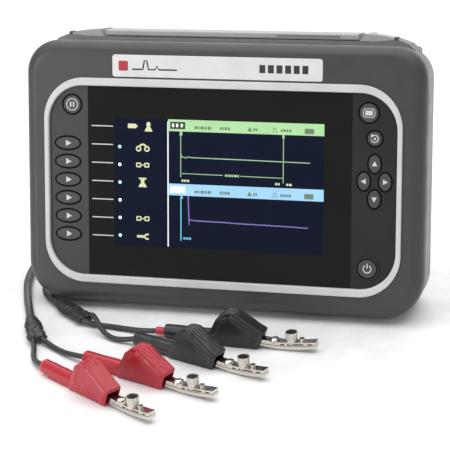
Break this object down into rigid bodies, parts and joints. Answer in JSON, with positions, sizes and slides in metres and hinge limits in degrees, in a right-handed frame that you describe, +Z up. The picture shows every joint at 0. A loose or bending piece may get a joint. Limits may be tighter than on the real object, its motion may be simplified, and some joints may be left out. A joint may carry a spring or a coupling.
{
  "type": "two-channel cable fault tester",
  "caption": "Landscape handheld test instrument with a colour display, key columns, fold-out stand and two leads that end in pairs of piercing clips.",
  "frame": {"origin": "middle of the instrument's own footprint, on the floor", "axes": "+X right across the face, +Y from the face to the back, +Z up"},
  "size_m": [0.313, 0.4121, 0.1902],
  "materials": {
    "case_front": "fine moulded satin",
    "case_rear": "fine moulded satin",
    "cover": "fine moulded satin",
    "bezel": "painted silver, satin",
    "panel_left": "fine texture",
    "panel_right": "fine texture",
    "lens": "polished, printed dark border",
    "lcd": "backlit display",
    "name_plate": "printed label, satin",
    "key": "silicone key, matt",
    "rubber": "matt",
    "battery": "shrink sleeve",
    "circuit_board": "solder mask",
    "steel": "bright",
    "connector": "moulded",
    "lead_black": "soft PVC, satin",
    "boot_red": "soft PVC, satin",
    "boot_black": "soft PVC, satin",
    "nickel": "nickel plate"
  },
  "bodies": {
    "root": {"front_shell": "case_front", "case_seal": "rubber", "rear_shell": "case_rear", "feet": "rubber", "battery_cover": "case_rear", "battery_pack": "battery", "case_screws": "steel", "bezel_ring": "bezel", "left_key_panel": "panel_left", "right_key_panel": "panel_right", "display_lens": "lens", "lcd_module": "lcd", "name_plate": "name_plate", "dome_switches": "steel", "key_board": "circuit_board", "main_board": "circuit_board", "charger_jack": "connector", "usb_socket": "steel", "test_sockets": "connector", "hinge_pins": "steel", "lead_plug_1": "lead_black", "lead_plug_2": "lead_black", "lead_1_cord": "lead_black", "lead_2_cord": "lead_black", "lead_1_coil": "lead_black", "lead_2_coil": "lead_black", "splitter_1": "lead_black", "splitter_2": "lead_black", "red_tail_1": "lead_black", "red_tail_2": "lead_black", "black_tail_1": "lead_black", "black_tail_2": "lead_black", "red_clip_1_boot": "boot_red", "red_clip_2_boot": "boot_red", "black_clip_1_boot": "boot_black", "black_clip_2_boot": "boot_black", "clip_lower_jaws": "nickel", "clip_pins": "nickel", "clip_springs": "nickel"},
    "hold_key": {"hold_key": "key"},
    "soft_key_1": {"soft_key_1": "key"},
    "soft_key_2": {"soft_key_2": "key"},
    "soft_key_3": {"soft_key_3": "key"},
    "soft_key_4": {"soft_key_4": "key"},
    "soft_key_5": {"soft_key_5": "key"},
    "soft_key_6": {"soft_key_6": "key"},
    "backlight_key": {"backlight_key": "key"},
    "null_key": {"null_key": "key"},
    "up_key": {"up_key": "key"},
    "left_key": {"left_key": "key"},
    "right_key": {"right_key": "key"},
    "down_key": {"down_key": "key"},
    "power_key": {"power_key": "key"},
    "stand": {"stand": "case_rear"},
    "top_cover": {"top_cover": "cover"},
    "red_clip_1_jaw": {"red_clip_1_jaw": "nickel"},
    "red_clip_2_jaw": {"red_clip_2_jaw": "nickel"},
    "black_clip_1_jaw": {"black_clip_1_jaw": "nickel"},
    "black_clip_2_jaw": {"black_clip_2_jaw": "nickel"}
  },
  "joints": [
    {"name": "hold_key_press", "type": "slide", "parent": "root", "child": "hold_key", "axis": [0, 0.9744, -0.225], "range_m": [0, 0.001], "stiffness_N_per_m": 250, "springref_m": -0.0008},
    {"name": "soft_key_1_press", "type": "slide", "parent": "root", "child": "soft_key_1", "axis": [0, 0.9744, -0.225], "range_m": [0, 0.001], "stiffness_N_per_m": 250, "springref_m": -0.0008},
    {"name": "soft_key_2_press", "type": "slide", "parent": "root", "child": "soft_key_2", "axis": [0, 0.9744, -0.225], "range_m": [0, 0.001], "stiffness_N_per_m": 250, "springref_m": -0.0008},
    {"name": "soft_key_3_press", "type": "slide", "parent": "root", "child": "soft_key_3", "axis": [0, 0.9744, -0.225], "range_m": [0, 0.001], "stiffness_N_per_m": 250, "springref_m": -0.0008},
    {"name": "soft_key_4_press", "type": "slide", "parent": "root", "child": "soft_key_4", "axis": [0, 0.9744, -0.225], "range_m": [0, 0.001], "stiffness_N_per_m": 250, "springref_m": -0.0008},
    {"name": "soft_key_5_press", "type": "slide", "parent": "root", "child": "soft_key_5", "axis": [0, 0.9744, -0.225], "range_m": [0, 0.001], "stiffness_N_per_m": 250, "springref_m": -0.0008},
    {"name": "soft_key_6_press", "type": "slide", "parent": "root", "child": "soft_key_6", "axis": [0, 0.9744, -0.225], "range_m": [0, 0.001], "stiffness_N_per_m": 250, "springref_m": -0.0008},
    {"name": "backlight_key_press", "type": "slide", "parent": "root", "child": "backlight_key", "axis": [0, 0.9744, -0.225], "range_m": [0, 0.001], "stiffness_N_per_m": 250, "springref_m": -0.0008},
    {"name": "null_key_press", "type": "slide", "parent": "root", "child": "null_key", "axis": [0, 0.9744, -0.225], "range_m": [0, 0.001], "stiffness_N_per_m": 250, "springref_m": -0.0008},
    {"name": "up_key_press", "type": "slide", "parent": "root", "child": "up_key", "axis": [0, 0.9744, -0.225], "range_m": [0, 0.001], "stiffness_N_per_m": 250, "springref_m": -0.0008},
    {"name": "left_key_press", "type": "slide", "parent": "root", "child": "left_key", "axis": [0, 0.9744, -0.225], "range_m": [0, 0.001], "stiffness_N_per_m": 250, "springref_m": -0.0008},
    {"name": "right_key_press", "type": "slide", "parent": "root", "child": "right_key", "axis": [0, 0.9744, -0.225], "range_m": [0, 0.001], "stiffness_N_per_m": 250, "springref_m": -0.0008},
    {"name": "down_key_press", "type": "slide", "parent": "root", "child": "down_key", "axis": [0, 0.9744, -0.225], "range_m": [0, 0.001], "stiffness_N_per_m": 250, "springref_m": -0.0008},
    {"name": "power_key_press", "type": "slide", "parent": "root", "child": "power_key", "axis": [0, 0.9744, -0.225], "range_m": [0, 0.001], "stiffness_N_per_m": 250, "springref_m": -0.0008},
    {"name": "stand_fold", "type": "hinge", "parent": "root", "child": "stand", "pos_m": [0, 0.02231, 0.1202], "axis": [1, 0, 0], "range_deg": [-27, 0]},
    {"name": "top_cover_lift", "type": "hinge", "parent": "root", "child": "top_cover", "pos_m": [0, 0.03542, 0.18142], "axis": [-1, 0, 0], "range_deg": [0, 110]},
    {"name": "red_clip_1_open", "type": "hinge", "parent": "root", "child": "red_clip_1_jaw", "pos_m": [-0.0392, -0.19172, 0.0072], "axis": [-0.5299, -0.848, 0], "range_deg": [0, 15], "stiffness_Nm_per_rad": 0.06, "springref_deg": -17.19},
    {"name": "red_clip_2_open", "type": "hinge", "parent": "root", "child": "red_clip_2_jaw", "pos_m": [-0.01155, -0.1636, 0.0072], "axis": [-0.3584, -0.9336, 0], "range_deg": [0, 15], "stiffness_Nm_per_rad": 0.06, "springref_deg": -17.19},
    {"name": "black_clip_1_open", "type": "hinge", "parent": "root", "child": "black_clip_1_jaw", "pos_m": [0.01365, -0.1301, 0.0072], "axis": [-0.3584, -0.9336, 0], "range_deg": [0, 15], "stiffness_Nm_per_rad": 0.06, "springref_deg": -17.19},
    {"name": "black_clip_2_open", "type": "hinge", "parent": "root", "child": "black_clip_2_jaw", "pos_m": [0.03425, -0.09676, 0.0072], "axis": [-0.0698, -0.9976, 0], "range_deg": [0, 15], "stiffness_Nm_per_rad": 0.06, "springref_deg": -17.19}
  ]
}
